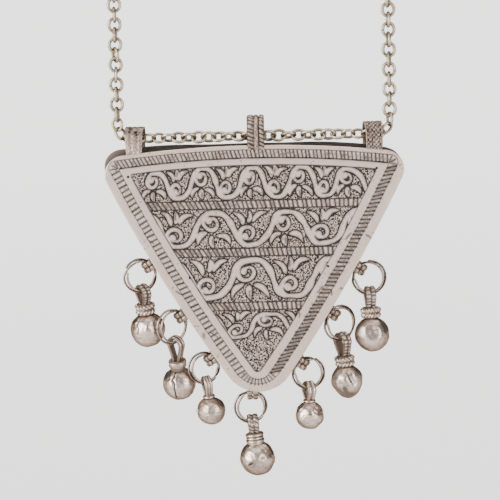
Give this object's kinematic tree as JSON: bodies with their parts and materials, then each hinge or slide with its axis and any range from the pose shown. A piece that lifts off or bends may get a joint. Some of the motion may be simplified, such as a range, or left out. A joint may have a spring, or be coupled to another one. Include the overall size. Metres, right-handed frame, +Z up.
{
  "type": "amulet necklace",
  "caption": "Triangular silver amulet case with an engraved front, hung by three bails on a long round-link neck chain, with hollow ball drops on split rings.",
  "frame": {"origin": "middle of the chain where it rests on the nape, the point that carries the hanging necklace", "axes": "+Z up, -Y is the way the engraved front faces, +X is the viewer's right of the front"},
  "size_m": [0.1194, 0.1262, 0.2961],
  "materials": {
    "chain_silver": "worn silver wire, polished by wear, dark in the joints",
    "case_silver": "dull silver sheet with brown tarnish, bright on its edges",
    "plate_silver": "matt scratched silver, black patina in the engraving",
    "ring_silver": "drawn silver wire with soft polish",
    "drop_silver": "polished dented silver sheet with brown tarnish in the hollows"
  },
  "bodies": {
    "chain": {"neck_chain": "chain_silver"},
    "amulet": {"amulet_case": "case_silver", "front_plate": "plate_silver", "jump_ring_1": "ring_silver", "jump_ring_2": "ring_silver", "jump_ring_3": "ring_silver", "jump_ring_4": "ring_silver", "jump_ring_5": "ring_silver", "jump_ring_6": "ring_silver", "jump_ring_7": "ring_silver", "ball_drop_1": "drop_silver", "ball_drop_2": "drop_silver", "ball_drop_3": "drop_silver", "ball_drop_4": "drop_silver", "ball_drop_5": "drop_silver", "ball_drop_6": "drop_silver", "ball_drop_7": "drop_silver"}
  },
  "joints": [
    {"name": "case_swing", "type": "hinge", "parent": "chain", "child": "amulet", "pos_m": [0, -0.118, -0.19], "axis": [1, 0, 0], "range_deg": [-60, 60]}
  ]
}
